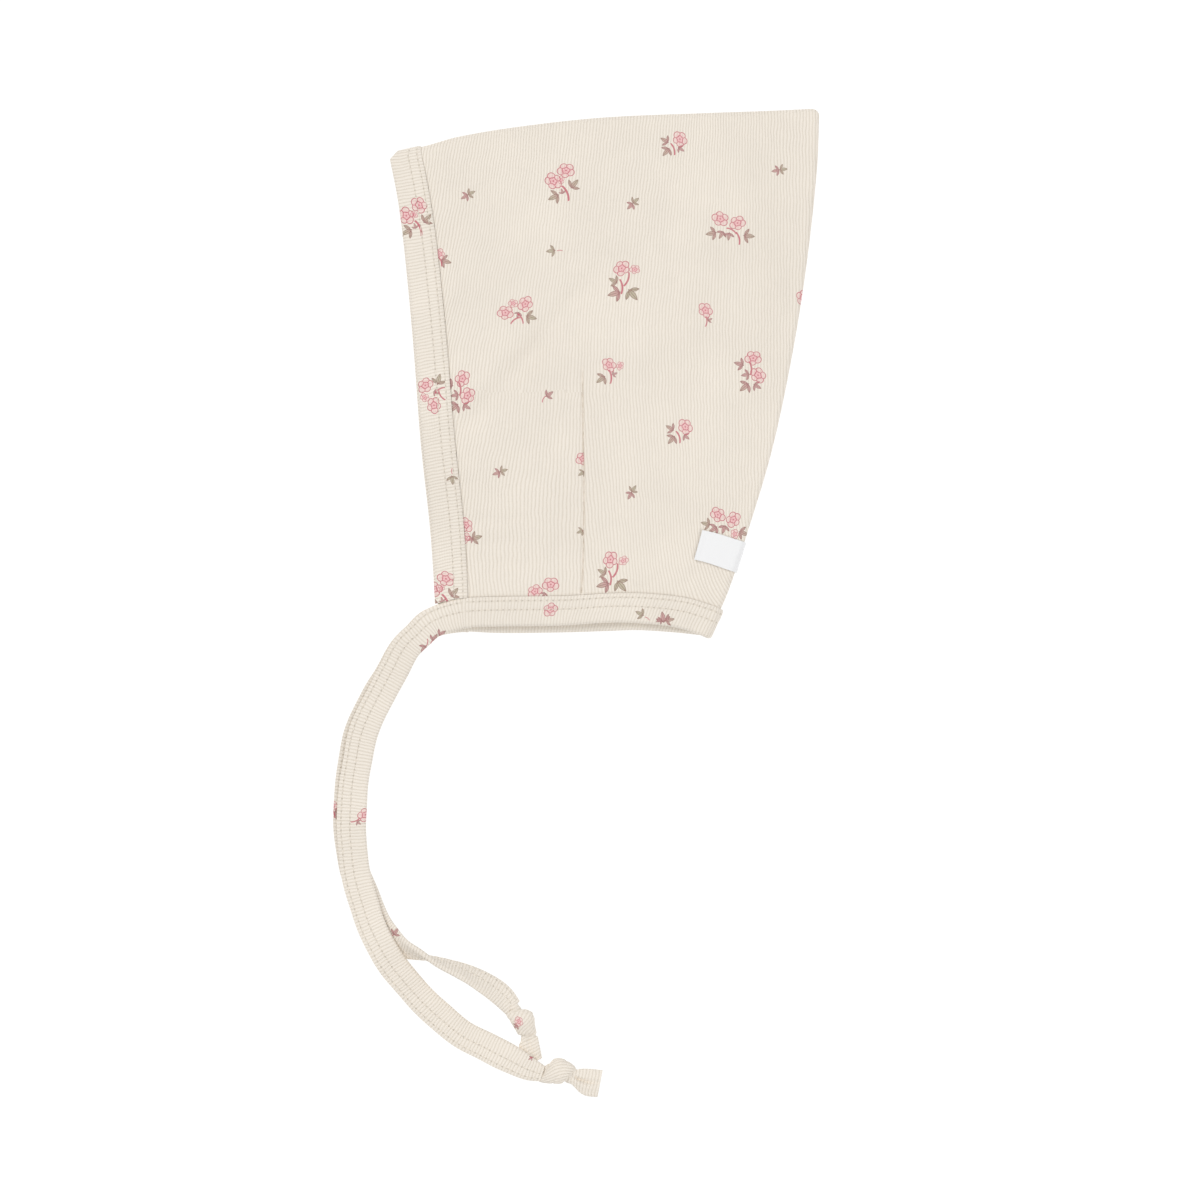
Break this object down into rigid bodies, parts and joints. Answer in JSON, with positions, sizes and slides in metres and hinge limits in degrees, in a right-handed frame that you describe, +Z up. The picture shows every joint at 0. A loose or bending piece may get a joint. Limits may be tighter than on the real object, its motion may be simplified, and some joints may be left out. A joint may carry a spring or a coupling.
{
  "type": "pixie bonnet",
  "caption": "Baby's pixie bonnet in printed rib knit, folded flat on its side, with bound edges and knotted neck ties.",
  "frame": {"origin": "on the surface it lies on, under the middle of the folded crown", "axes": "+Z up from the surface, -X out of the face opening, +Y towards the top fold, -Y towards the neck"},
  "size_m": [0.1701, 0.345, 0.0128],
  "materials": {
    "rib_knit": "cream cotton rib knit with a rose print",
    "woven_label": "plain white woven tape"
  },
  "bodies": {
    "root": {"crown": "rib_knit", "front_binding": "rib_knit", "neck_binding": "rib_knit", "back_label": "woven_label", "near_tie": "rib_knit", "far_tie": "rib_knit", "near_knot": "rib_knit", "far_knot": "rib_knit"}
  },
  "joints": []
}
